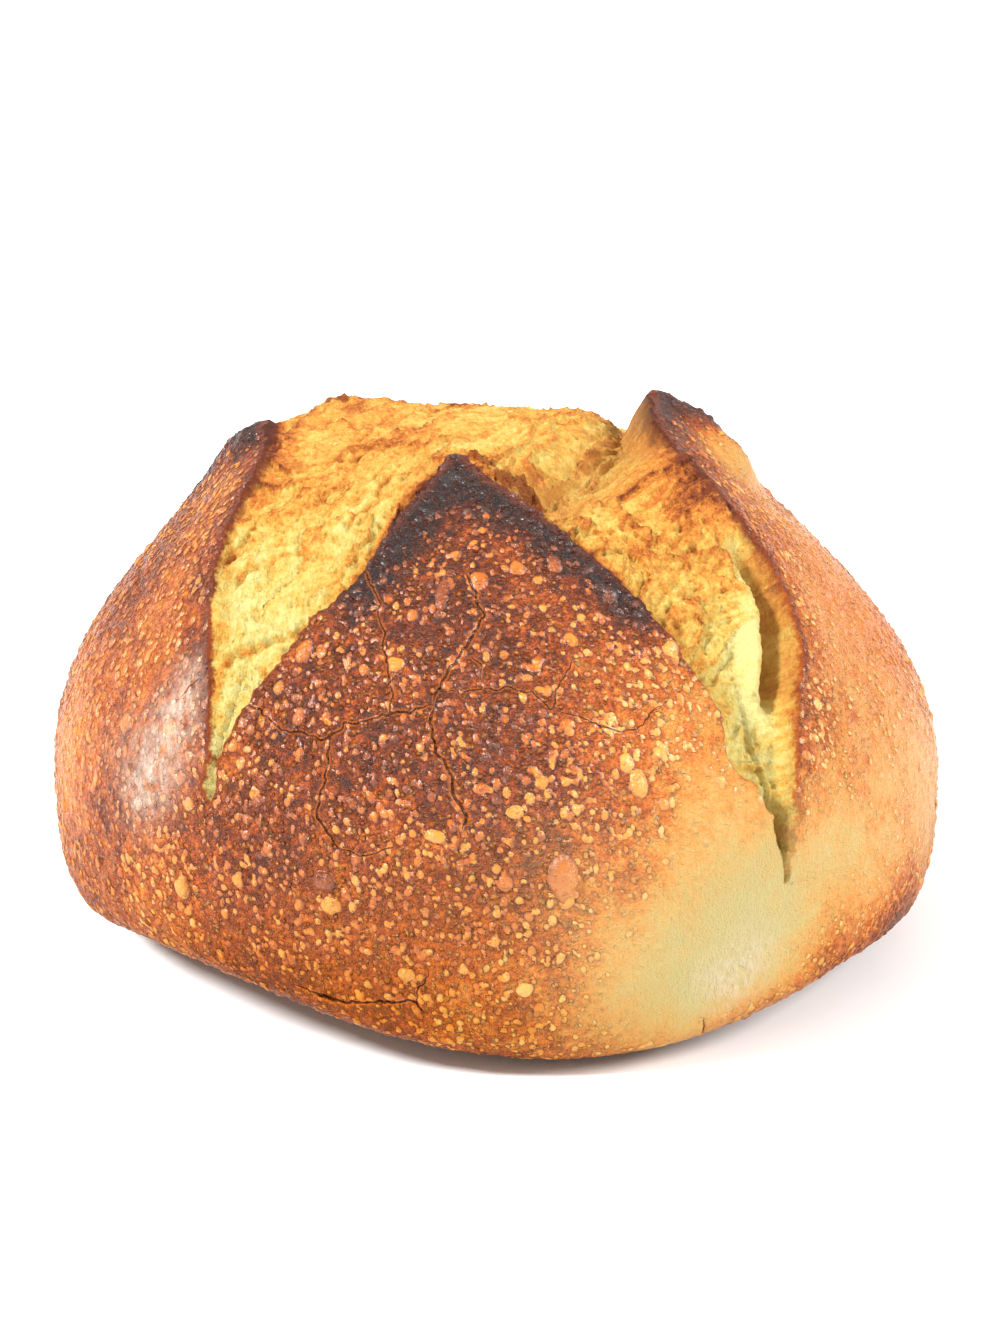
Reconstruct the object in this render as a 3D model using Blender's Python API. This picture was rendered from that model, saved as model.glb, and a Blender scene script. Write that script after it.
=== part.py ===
# A round loaf of bread, torn open from the top along a cross-shaped cut.
# Metres, +Z up, the origin at the centre of the base on the floor, the open front along -Y.
import math

import bmesh
import bpy
import numpy as np

# the loaf without its tears
WIDEST_RADIUS = 0.105
WIDEST_HEIGHT = 0.040
DOME_HEIGHT = 0.1215
DOME_POWER = 2.14
BASE_RADIUS = 0.090
FLAT_RADIUS = 0.050
SIDE_POWER = 0.68
RIGHT_SLOPE = 0.115
LEFT_SLOPE = 0.05

# where the rim of the underside curls up: azimuth in degrees, height, spread in degrees
RIM_CURLS = ((-135.0, 0.0160, 38.0), (-35.0, 0.0090, 30.0))

# tips of the four flaps of crust: azimuth, reach from the top (1 is the widest ring), ear height
FLAP_TIPS = {
    "front": (-106.7, 0.176, 0.0031),
    "right": (25.5, 0.237, 0.0086),
    "back": (124.0, 0.320, 0.0030),
    "left": (165.2, 0.335, 0.0078),
}
# far ends of the four cuts: azimuth and reach
CUT_ENDS = {
    "frontRight": (-53.5, 1.00),
    "backRight": (48.0, 0.86),
    "backLeft": (136.0, 0.80),
    "frontLeft": (-126.9, 0.873),
}
# sides of the flaps in order round the opening: flap, cut, bow, sway and ripple of the line,
# lip height beyond the ear, share of the side that the ear takes, depth of the groove beside it
FLAP_SIDES = (
    ("front", "frontRight", -0.034, -0.007, -0.006, 0.0010, 0.60, 0.0010),
    ("right", "frontRight", -0.029, 0.031, 0.044, 0.0030, 0.50, 0.0070),
    ("right", "backRight", -0.291, 0.0, 0.0, 0.0010, 0.36, 0.0),
    ("back", "backRight", 0.0, 0.0, 0.0, 0.0010, 0.50, 0.0),
    ("back", "backLeft", 0.0, 0.0, 0.0, 0.0010, 0.50, 0.0),
    ("left", "backLeft", -0.207, 0.0, 0.0, 0.0010, 0.40, 0.0),
    ("left", "frontLeft", 0.024, 0.009, 0.023, 0.0025, 0.60, 0.0015),
    ("front", "frontLeft", -0.069, -0.022, 0.016, 0.0006, 0.60, 0.0),
)
EAR_SPREAD = 0.0145
WALL_WIDTH = 0.0045
GROOVE_WIDTH = 0.0045
# share of a lip's height that the crumb beside it climbs, and how far in it does
CRUMB_CLIMB = 0.80
CLIMB_SPREAD = 0.012
# swellings and dents of the rolled crust beside the ears: x, y, height, spread
EAR_LUMPS = (
    (0.037, 0.017, 0.0016, 0.004),
    (0.046, 0.017, 0.0026, 0.007),
    (0.055, 0.011, 0.0030, 0.006),
    (0.064, 0.007, -0.0016, 0.005),
    (-0.058, 0.012, 0.0020, 0.007),
    (-0.060, 0.022, 0.0018, 0.008),
    (-0.070, -0.006, -0.0008, 0.005),
)

# swellings of the open crumb: x, y, height, spread
CRUMB_LOBES = (
    (-0.039, 0.032, 0.0062, 0.0165),
    (-0.006, 0.012, 0.0003, 0.034),
    (-0.055, -0.050, 0.0025, 0.020),
    (0.046, -0.020, 0.0035, 0.014),
    (0.057, -0.074, -0.0040, 0.015),
)
CRUMB_DEPTH = 0.0020
# the valley across the crumb: plan points of its line, depth, half width
VALLEY_LINE = ((0.004, -0.050), (0.018, -0.028), (0.030, -0.004), (0.036, 0.030))
VALLEY_DEPTH = 0.0080
VALLEY_WIDTH = 0.0085
# the crest left of the groove: plan points of its line, height, half width
CREST_LINE = ((0.053, -0.036), (0.057, -0.046), (0.057, -0.063), (0.0595, -0.071))
CREST_HEIGHT = 0.0016
CREST_WIDTH = 0.0036

# slow unevenness of the whole skin
UNEVEN_HEIGHT = 0.0005

SEGMENTS = 108
RINGS = 54
SIDE_SAMPLES = 70

CRUST_COLOUR = (0.46, 0.17, 0.045, 1.0)
CRUST_ROUGHNESS = 0.5


def turn_from(azimuth, degrees):
    return np.angle(np.exp(1j * (azimuth - math.radians(degrees))))


def rim_curl(azimuth):
    height = np.zeros_like(azimuth)
    for degrees, rise, spread in RIM_CURLS:
        height += rise * np.exp(-(turn_from(azimuth, degrees) / math.radians(spread)) ** 2)
    return height


def smooth(value):
    value = np.clip(value, 0.0, 1.0)
    return value * value * (3.0 - 2.0 * value)


def skin_point(azimuth, reach):
    """The untorn loaf: reach 0 is the top, 1 the widest ring, 2 the base's rim, 3 its centre."""
    upper = np.clip(reach, 0.0, 1.0) * math.pi / 2
    lower = np.clip(reach - 1.0, 0.0, 1.0) * math.pi / 2
    under = BASE_RADIUS * (1.0 - np.clip(reach - 2.0, 0.0, 1.0))
    right = np.clip(np.cos(azimuth), 0.0, 1.0)
    left = np.clip(-np.cos(azimuth), 0.0, 1.0)
    slope = 1.0 - (RIGHT_SLOPE * right + LEFT_SLOPE * left) * np.sin(2 * upper) ** 2
    curl = rim_curl(azimuth)
    radius = WIDEST_RADIUS * np.sin(upper) ** (2 / DOME_POWER) * slope
    height = WIDEST_HEIGHT + (DOME_HEIGHT - WIDEST_HEIGHT) * np.cos(upper) ** (2 / DOME_POWER)
    side_radius = BASE_RADIUS + (WIDEST_RADIUS - BASE_RADIUS) * np.cos(lower) ** SIDE_POWER
    side_height = WIDEST_HEIGHT - (WIDEST_HEIGHT - curl) * np.sin(lower) ** SIDE_POWER
    flat = np.clip((under - FLAT_RADIUS) / (BASE_RADIUS - FLAT_RADIUS), 0.0, 1.0)
    radius = np.where(reach > 1.0, side_radius, radius)
    height = np.where(reach > 1.0, side_height, height)
    radius = np.where(reach > 2.0, under, radius)
    height = np.where(reach > 2.0, curl * flat * flat, height)
    return np.stack([radius * np.cos(azimuth), radius * np.sin(azimuth), height], -1)


def skin_normal(azimuth, reach):
    step = 0.002
    reach = np.clip(reach, 2 * step, 3.0 - 2 * step)
    around = skin_point(azimuth + step, reach) - skin_point(azimuth - step, reach)
    down = skin_point(azimuth, reach + step) - skin_point(azimuth, reach - step)
    normal = np.cross(down, around)
    normal /= np.linalg.norm(normal, axis=-1, keepdims=True)
    return normal


def on_chart(degrees, reach):
    return np.array([reach * math.cos(math.radians(degrees)), reach * math.sin(math.radians(degrees))])


def flap_side(flap, cut, bow, sway, ripple, lip, share, groove):
    """One torn side on the flat chart, from the flap's tip to the cut's end."""
    tip_turn, tip_reach, ear = FLAP_TIPS[flap]
    tip = on_chart(tip_turn, tip_reach)
    end = on_chart(*CUT_ENDS[cut])
    along = end - tip
    across = np.array([-along[1], along[0]])
    away = (tip + end) / 2 - on_chart(tip_turn, 1.0)
    across *= math.copysign(1.0, float(across @ away))
    part = np.linspace(0.0, 1.0, SIDE_SAMPLES)[:, None]
    wave = bow * np.sin(math.pi * part) + sway * np.sin(2 * math.pi * part)
    wave += ripple * np.sin(3 * math.pi * part)
    chart = tip + along * part + across * wave
    part = part[:, 0]
    height = lip + (ear - lip) * np.clip(1.0 - part / share, 0.0, 1.0) ** 1.2
    height *= np.sqrt(np.clip((1.0 - part) / 0.12, 0.0, 1.0))
    depth = groove * smooth((part - 0.30) / 0.18) * smooth((1.0 - part) / 0.2)
    return chart, height, depth


def torn_outline():
    """All eight sides as one closed line, with its lip heights and groove depths."""
    charts, heights, depths = [], [], []
    for number, side in enumerate(FLAP_SIDES):
        chart, height, depth = flap_side(*side)
        if number % 2:
            chart, height, depth = chart[::-1], height[::-1], depth[::-1]
        charts.append(chart[:-1])
        heights.append(height[:-1])
        depths.append(depth[:-1])
    return np.concatenate(charts), np.concatenate(heights), np.concatenate(depths)


def inside_outline(chart, outline):
    """Even-odd test of chart points against the closed outline."""
    inside = np.zeros(len(chart), bool)
    for start, end in zip(outline, np.roll(outline, -1, axis=0)):
        crosses = (start[1] > chart[:, 1]) != (end[1] > chart[:, 1])
        rise = end[1] - start[1] if end[1] != start[1] else 1e-9
        at = start[0] + (chart[:, 1] - start[1]) / rise * (end[0] - start[0])
        inside ^= crosses & (chart[:, 0] < at)
    return inside


def line_distance(points, line):
    """Least plan distance from the points to a line of plan points."""
    best = np.full(len(points), 1.0)
    for start, end in zip(line[:-1], line[1:]):
        start, end = np.array(start), np.array(end)
        along = end - start
        part = np.clip((points - start) @ along / (along @ along), 0.0, 1.0)
        best = np.minimum(best, np.linalg.norm(points - start - part[:, None] * along, axis=1))
    return best


def swelling(points, table):
    """Sum of round swellings, each given by x, y, height and spread."""
    height = np.zeros(len(points))
    for x, y, rise, spread in table:
        square = (points[:, 0] - x) ** 2 + (points[:, 1] - y) ** 2
        height += rise * np.exp(-square / spread ** 2)
    return height


def crumb_height(points):
    """Height of the open crumb over the untorn skin, from its plan position."""
    plan = points[:, :2]
    valley = line_distance(plan, VALLEY_LINE) / VALLEY_WIDTH
    crest = line_distance(plan, CREST_LINE) / CREST_WIDTH
    height = swelling(plan, CRUMB_LOBES) - CRUMB_DEPTH
    return height - VALLEY_DEPTH * np.exp(-valley ** 2) + CREST_HEIGHT * np.exp(-crest ** 2)


def unevenness(points):
    x, y, z = points.T / WIDEST_RADIUS
    wave = np.sin(4.1 * x + 1.3) * np.sin(3.7 * y + 0.4) + np.sin(7.3 * y - 2.1 * z + 2.0) * 0.6
    return UNEVEN_HEIGHT * (wave + np.sin(6.1 * z + 5.2 * x) * 0.6)


def near_outline(points, outline_points):
    """For each point the nearest sample of the outline and its distance."""
    nearest = np.empty(len(points), int)
    distance = np.empty(len(points))
    for first in range(0, len(points), 500):
        gap = points[first:first + 500, None] - outline_points[None]
        length = np.linalg.norm(gap, axis=2)
        nearest[first:first + 500] = length.argmin(axis=1)
        distance[first:first + 500] = length.min(axis=1)
    return nearest, distance


def chart_skin(chart):
    return skin_point(np.arctan2(chart[:, 1], chart[:, 0]), np.linalg.norm(chart, axis=1))


def signed_distance(chart, outline):
    """Distance to the outline, less than zero in the opening, and the nearest sample."""
    nearest, distance = near_outline(chart_skin(chart), chart_skin(outline))
    return nearest, np.where(inside_outline(chart, outline), -distance, distance)


def draw_in(chart, outline):
    """Moves the vertices beside the torn line onto it, or onto the foot of its wall."""
    nearest, signed = signed_distance(chart, outline)
    distance = np.maximum(np.abs(signed), 1e-6)
    on_line = distance < WALL_WIDTH / 2
    on_foot = (signed < -WALL_WIDTH / 2) & (signed > -1.5 * WALL_WIDTH)
    target = np.where(on_line, 0.0, np.where(on_foot, WALL_WIDTH, distance))
    start = outline[nearest]
    moved = start + (chart - start) * (target / distance)[:, None]
    kept = np.abs(signed_distance(moved, outline)[1]) > 0.8 * WALL_WIDTH
    return np.where((on_line | (on_foot & kept))[:, None], moved, chart)


def loaf_points(azimuth, reach):
    """Every vertex of the loaf: crust, torn lips, open crumb and flat base."""
    outline, lips, grooves = torn_outline()
    chart = np.stack([reach * np.cos(azimuth), reach * np.sin(azimuth)], -1)
    upper = reach < 1.15
    chart[upper] = draw_in(chart[upper], outline)
    azimuth = np.arctan2(chart[:, 1], chart[:, 0])
    reach = np.linalg.norm(chart, axis=1)
    points = skin_point(azimuth, reach)
    nearest, signed = signed_distance(chart, outline)
    lip = lips[nearest] * np.exp(-(np.abs(signed) / EAR_SPREAD) ** 1.5)
    lip += swelling(points, EAR_LUMPS)
    climb = lips[nearest] * CRUMB_CLIMB * np.exp(-(np.abs(signed) / CLIMB_SPREAD) ** 1.5)
    groove = grooves[nearest] * np.exp(-((signed + WALL_WIDTH) / GROOVE_WIDTH) ** 2)
    crumb = crumb_height(points) + climb - groove
    height = crumb + (lip - crumb) * smooth((signed + WALL_WIDTH) / WALL_WIDTH)
    height += unevenness(points)
    height *= smooth((1.9 - reach) / 0.5)
    return points + skin_normal(azimuth, reach) * height[:, None]


def ring_reach(part):
    """Spreads the rings: most over the dome, fewer under the loaf."""
    return np.interp(part, (0.0, 0.70, 0.90, 1.0), (0.0, 1.0, 2.0, 3.0))


def make_loaf(material):
    mesh = bpy.data.meshes.new("boule")
    shape = bmesh.new()
    bmesh.ops.create_uvsphere(shape, u_segments=SEGMENTS, v_segments=RINGS, radius=1.0)
    start = np.array([vertex.co[:] for vertex in shape.verts])
    azimuth = np.arctan2(start[:, 1], start[:, 0])
    reach = ring_reach(np.arccos(np.clip(start[:, 2], -1.0, 1.0)) / math.pi)
    for vertex, place in zip(shape.verts, loaf_points(azimuth, reach)):
        vertex.co = place
    bmesh.ops.triangulate(shape, faces=shape.faces[:])
    bmesh.ops.recalc_face_normals(shape, faces=shape.faces[:])
    for face in shape.faces:
        face.smooth = True
    shape.to_mesh(mesh)
    shape.free()
    mesh.materials.append(material)
    return bpy.data.objects.new("boule", mesh)


def crust_material():
    material = bpy.data.materials.new("crust")
    material.use_nodes = True
    shader = material.node_tree.nodes["Principled BSDF"]
    shader.inputs["Base Color"].default_value = CRUST_COLOUR
    shader.inputs["Roughness"].default_value = CRUST_ROUGHNESS
    shader.inputs["Metallic"].default_value = 0.0
    return material


def main():
    for thing in list(bpy.data.objects):
        bpy.data.objects.remove(thing)
    collection = bpy.data.collections.new("round_loaf")
    bpy.context.scene.collection.children.link(collection)
    collection.objects.link(make_loaf(crust_material()))


main()
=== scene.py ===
import math
import bpy
import numpy as np
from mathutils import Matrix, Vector
from mathutils.kdtree import KDTree


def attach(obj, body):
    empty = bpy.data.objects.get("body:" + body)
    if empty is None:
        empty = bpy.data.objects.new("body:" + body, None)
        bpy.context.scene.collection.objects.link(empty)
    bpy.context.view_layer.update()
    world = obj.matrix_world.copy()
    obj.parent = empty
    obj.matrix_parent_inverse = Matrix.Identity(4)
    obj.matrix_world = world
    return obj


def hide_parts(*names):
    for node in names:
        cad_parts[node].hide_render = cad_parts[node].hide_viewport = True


# a round loaf as one skin, laid over the untorn loaf by azimuth and reach and then pushed along its normals
# into torn edges, open crumb, blisters and cracks; sizes are in mm and angles in degrees
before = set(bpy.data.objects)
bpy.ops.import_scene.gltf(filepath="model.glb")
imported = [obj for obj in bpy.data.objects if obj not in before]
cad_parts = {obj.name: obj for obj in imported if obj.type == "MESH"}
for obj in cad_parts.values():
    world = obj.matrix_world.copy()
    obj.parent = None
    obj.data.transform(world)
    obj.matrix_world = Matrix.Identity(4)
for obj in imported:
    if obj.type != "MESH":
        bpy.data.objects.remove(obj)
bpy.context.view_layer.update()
scene = bpy.context.scene
pi = math.pi


# 1 at zero and falling off to both sides
def bell(far, width):
    return np.exp(-(far / width) ** 2)


# 1 at the centre and falling off all round
def hill(points, centre, size):
    return np.exp(-((points - centre) ** 2).sum(-1) / size ** 2)


loaf = {
    "radius": 105.0,      # at the widest ring
    "widest": 40.0,
    "top": 121.5,
    "domePower": 2.14,
    "baseRadius": 90.0,
    "flatRadius": 50.0,
    "sidePower": 0.68,
    "rightSlope": 0.115,
    "leftSlope": 0.05,
    "rimCurls": [(-135, 16.0, 38), (-35, 9.0, 30)],   # azimuth, height, spread
}


def rimCurl(turn):
    rise = np.zeros_like(turn)
    for azimuth, height, spread in loaf["rimCurls"]:
        off = np.angle(np.exp(1j * (turn - math.radians(azimuth))))
        rise += height * bell(off, math.radians(spread))
    return rise


# reach 0 is the top, 1 the widest ring, 2 the rim of the base, 3 its middle
def skinPoint(turn, reach):
    wide, base, flat = loaf["radius"], loaf["baseRadius"], loaf["flatRadius"]
    middle, dome, side = loaf["widest"], 2 / loaf["domePower"], loaf["sidePower"]
    upper = np.clip(reach, 0, 1) * pi / 2
    lower = np.clip(reach - 1, 0, 1) * pi / 2
    under = base * (1 - np.clip(reach - 2, 0, 1))
    slope = loaf["rightSlope"] * np.clip(np.cos(turn), 0, 1) + loaf["leftSlope"] * np.clip(-np.cos(turn), 0, 1)
    curl = rimCurl(turn)
    radius = wide * np.sin(upper) ** dome * (1 - slope * np.sin(2 * upper) ** 2)
    height = middle + (loaf["top"] - middle) * np.cos(upper) ** dome
    fading = np.clip((under - flat) / (base - flat), 0, 1)
    radius = np.where(reach > 1, base + (wide - base) * np.cos(lower) ** side, radius)
    height = np.where(reach > 1, middle - (middle - curl) * np.sin(lower) ** side, height)
    radius = np.where(reach > 2, under, radius)
    height = np.where(reach > 2, curl * fading * fading, height)
    return np.stack([radius * np.cos(turn), radius * np.sin(turn), height], -1)


def spotAt(azimuth, reach):
    return skinPoint(np.array([math.radians(azimuth)]), np.array([reach]))[0]


def skinNormal(turn, reach):
    step = 0.002
    reach = np.clip(reach, 2 * step, 3 - 2 * step)
    around = skinPoint(turn + step, reach) - skinPoint(turn - step, reach)
    down = skinPoint(turn, reach + step) - skinPoint(turn, reach - step)
    normal = np.cross(down, around)
    return normal / np.maximum(np.linalg.norm(normal, axis=-1, keepdims=True), 1e-9)


def chartOf(azimuth, reach):
    return np.array([reach * math.cos(math.radians(azimuth)), reach * math.sin(math.radians(azimuth))])


def turnAndReach(chart):
    return np.arctan2(chart[:, 1], chart[:, 0]), np.linalg.norm(chart, axis=1)


def smooth(value):
    value = np.clip(value, 0, 1)
    return value * value * (3 - 2 * value)


def dice(x, y, z, seed):
    mixed = (x * 73856093) ^ (y * 19349663) ^ (z * 83492791) ^ (seed * 668265263)
    mixed = ((mixed ^ (mixed >> 13)) * 1274126177) & 0x7FFFFFFF
    mixed = ((mixed ^ (mixed >> 15)) * 461845907) & 0x7FFFFFFF
    return ((mixed ^ (mixed >> 14)) & 0xFFFF) / 65535.0


# smooth noise from -1 to 1 with lumps of about this size
def noise(points, size, seed):
    spot = points / size
    cell = np.floor(spot).astype(np.int64)
    part = spot - cell
    part = part * part * (3 - 2 * part)
    total = 0
    for dx, dy, dz in np.ndindex(2, 2, 2):
        weight = ((part[:, 0] if dx else 1 - part[:, 0]) * (part[:, 1] if dy else 1 - part[:, 1])
                  * (part[:, 2] if dz else 1 - part[:, 2]))
        total = total + weight * dice(cell[:, 0] + dx, cell[:, 1] + dy, cell[:, 2] + dz, seed)
    return total * 2 - 1


def layers(points, size, seed, count=3, fade=0.5, crested=False):
    total, weight, whole = 0, 1.0, 0.0
    for k in range(count):
        wave = noise(points, size / 2 ** k, seed + k)
        total = total + weight * ((1 - np.abs(wave)) ** 2 if crested else wave)
        whole += weight
        weight *= fade
    return total / whole


# sharp crests from 0 to 1
def ridges(points, size, seed, count=3):
    return layers(points, size, seed, count, 0.62, crested=True)


# a push to some side at every point
def wander(points, amount, size, seed):
    return amount * np.stack([noise(points, size, seed + k) for k in range(3)], -1)


# slow rises that end in a sharp drop, 0 to 1
def flakes(points, size, seed, steps):
    level = steps * layers(points, size, seed, 2)
    return level - np.floor(level)


# round swellings: height 0 to 1 and a random shade for each
def bubbles(points, size, seed, chance, small, large):
    spot = points / size
    cell = np.floor(spot).astype(np.int64)
    best = np.zeros(len(points))
    shade = np.zeros(len(points))
    for aside in np.ndindex(3, 3, 3):
        x, y, z = [cell[:, k] + aside[k] - 1 for k in range(3)]
        off = spot - np.stack([place + dice(x, y, z, seed + k) for k, place in enumerate((x, y, z))], -1)
        pick = dice(x, y, z, seed + 3)
        radius = small + (large - small) * dice(x, y, z, seed + 4) ** 2
        lump = 1 - (off ** 2).sum(-1) / radius ** 2
        lump = np.where(pick < chance, lump, 0)
        higher = lump > best
        best = np.where(higher, lump, best)
        shade = np.where(higher, dice(x, y, z, seed + 5), shade)
    return best, shade


def softSpots(points, table):
    total = np.zeros(len(points))
    for azimuth, reach, size, amount in table:
        total += amount * hill(points, spotAt(azimuth, reach), size)
    return total


flapTips = {  # azimuth, reach, height of the ear
    "front": (-106.7, 0.176, 3.1),
    "right": (25.5, 0.237, 8.6),
    "back": (124.0, 0.32, 2.0),
    "left": (165.2, 0.335, 7.8),
}
cutEnds = {
    "frontRight": (-53.5, 1.0),
    "backRight": (48.0, 0.86),
    "backLeft": (136.0, 0.8),
    "frontLeft": (-126.9, 0.873),
}
flapSides = [  # flap, cut, bow, sway, ripple, lip, share that the ear takes, groove, charring
    ("front", "frontRight", -0.034, -0.007, -0.006, 1.0, 0.6, 1.0, 0.48),
    ("right", "frontRight", -0.029, 0.031, 0.044, 3.0, 0.5, 8.0, 0.1),
    ("right", "backRight", -0.291, 0.0, 0.0, 1.0, 0.36, 0.0, 0.2),
    ("back", "backRight", 0.0, 0.0, 0.0, 1.0, 0.5, 0.0, 0.02),
    ("back", "backLeft", 0.0, 0.0, 0.0, 1.0, 0.5, 0.0, 0.02),
    ("left", "backLeft", -0.207, 0.0, 0.0, 1.0, 0.4, 0.0, 0.3),
    ("left", "frontLeft", 0.024, 0.009, 0.023, 2.5, 0.6, 1.5, 0.1),
    ("front", "frontLeft", -0.069, -0.022, 0.016, 0.6, 0.6, 0.0, 0.46),
]
tear = {
    "earSpread": 14.5,
    "crumbClimb": 0.85,      # how much of the lip the crumb climbs
    "climbSpread": 12.0,
    "grooveMiddle": 4.0,
    "grooveWidth": 2.9,
    "wall": (0.7, 0.4),      # width of the step from crumb to crust, and how much more for its height
    "lowest": 1.25,          # no tear reaches as low as this
    "earPower": 1.2,
    "lipTaper": 0.12,        # share of a side along which its lip dies out
    "groove": (0.34, 0.14, 0.76, 0.1),             # along a side: start, its slope, end, its slope
    "grooveFoot": (0.86, 0.06, 1.02, 0.1, 0.55),   # the same for its foot, and how deep that is
}


def flapSide(flap, cut, bow, sway, ripple, lip, share, groove, char, samples):
    azimuth, reach, ear = flapTips[flap]
    tip, end = chartOf(azimuth, reach), chartOf(*cutEnds[cut])
    along = end - tip
    across = np.array([-along[1], along[0]])
    across *= math.copysign(1, float(across @ ((tip + end) / 2 - chartOf(azimuth, 1))))
    part = np.linspace(0, 1, samples)[:, None]
    wave = bow * np.sin(pi * part) + sway * np.sin(2 * pi * part) + ripple * np.sin(3 * pi * part)
    line = tip + along * part + across * wave
    part = part[:, 0]
    height = lip + (ear - lip) * np.clip(1 - part / share, 0, 1) ** tear["earPower"]
    height *= np.sqrt(np.clip((1 - part) / tear["lipTaper"], 0, 1))
    start, rising, stop, falling = tear["groove"]
    depth = smooth((part - start) / rising) * smooth((stop - part) / falling)
    start, rising, stop, falling, lower = tear["grooveFoot"]
    depth = groove * (depth + lower * smooth((part - start) / rising) * smooth((stop - part) / falling))
    burnt = smooth((char - part) / 0.15 + 0.5)
    return [line, height, depth, burnt]


def tornOutline(samples):
    gathered = [[], [], [], []]
    for number, side in enumerate(flapSides):
        for kept, values in zip(gathered, flapSide(*side, samples)):
            kept.append((values[::-1] if number % 2 else values)[:-1])
    return [np.concatenate(kept) for kept in gathered]


def insideOutline(chart, outline):
    inside = np.zeros(len(chart), bool)
    for start, end in zip(outline, np.roll(outline, -1, axis=0)):
        crosses = (start[1] > chart[:, 1]) != (end[1] > chart[:, 1])
        rise = end[1] - start[1] if end[1] != start[1] else 1e-9
        inside ^= crosses & (chart[:, 0] < start[0] + (chart[:, 1] - start[1]) / rise * (end[0] - start[0]))
    return inside


# index of the nearest sample and its distance for every point
def nearest(points, samples):
    tree = KDTree(len(samples))
    for number, sample in enumerate(samples):
        tree.insert(sample, number)
    tree.balance()
    found = [tree.find(point)[1:] for point in points]
    return np.array([f[0] for f in found]), np.array([f[1] for f in found])


def lineDistance(plan, line):
    best = np.full(len(plan), 1e3)
    for start, end in zip(line[:-1], line[1:]):
        start, end = np.array(start, float), np.array(end, float)
        along = end - start
        part = np.clip((plan - start) @ along / (along @ along), 0, 1)
        best = np.minimum(best, np.linalg.norm(plan - start - part[:, None] * along, axis=1))
    return best


# points along every crack or crease, their sideways directions, half widths and depths
def strokeSamples(table):
    spots, sides, widths, depths = [], [], [], []
    for width, depth, bends in table.values():
        line = np.array([chartOf(*bend) for bend in bends])
        along = np.linspace(0, len(line) - 1, 90 * (len(line) - 1))
        spot = np.stack([np.interp(along, range(len(line)), line[:, k]) for k in (0, 1)], -1)
        turn, reach = turnAndReach(spot)
        point = skinPoint(turn, reach)
        point += wander(point, 0.7, 2.6, 60)   # so that it isn't a ruled line
        point += wander(point, 0.35, 1.1, 63)
        side = np.cross(np.gradient(point, axis=0), skinNormal(turn, reach))
        taper = smooth(np.minimum(along, len(line) - 1 - along) / 0.8 + 0.25)
        taper *= 1 + 0.35 * noise(point, 3.0, 66)
        spots.append(point)
        sides.append(side / np.linalg.norm(side, axis=1, keepdims=True))
        widths.append(width * taper)
        depths.append(depth * taper)
    return np.concatenate(spots), np.concatenate(sides), np.concatenate(widths), np.concatenate(depths)


# distance, sideways distance, half width and depth of the nearest stroke
def nearStrokes(skin, reach, table):
    spots, sides, widths, depths = strokeSamples(table)
    some = reach < 1.85   # none on the underside
    near, apart = nearest(skin[some], spots)
    far, side = np.full(len(skin), 50.0), np.full(len(skin), 50.0)
    wide, deep = np.full(len(skin), 0.01), np.zeros(len(skin))
    far[some], wide[some], deep[some] = apart, widths[near], depths[near]
    side[some] = ((skin[some] - spots[near]) * sides[near]).sum(-1)
    return far, side, wide, deep


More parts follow.
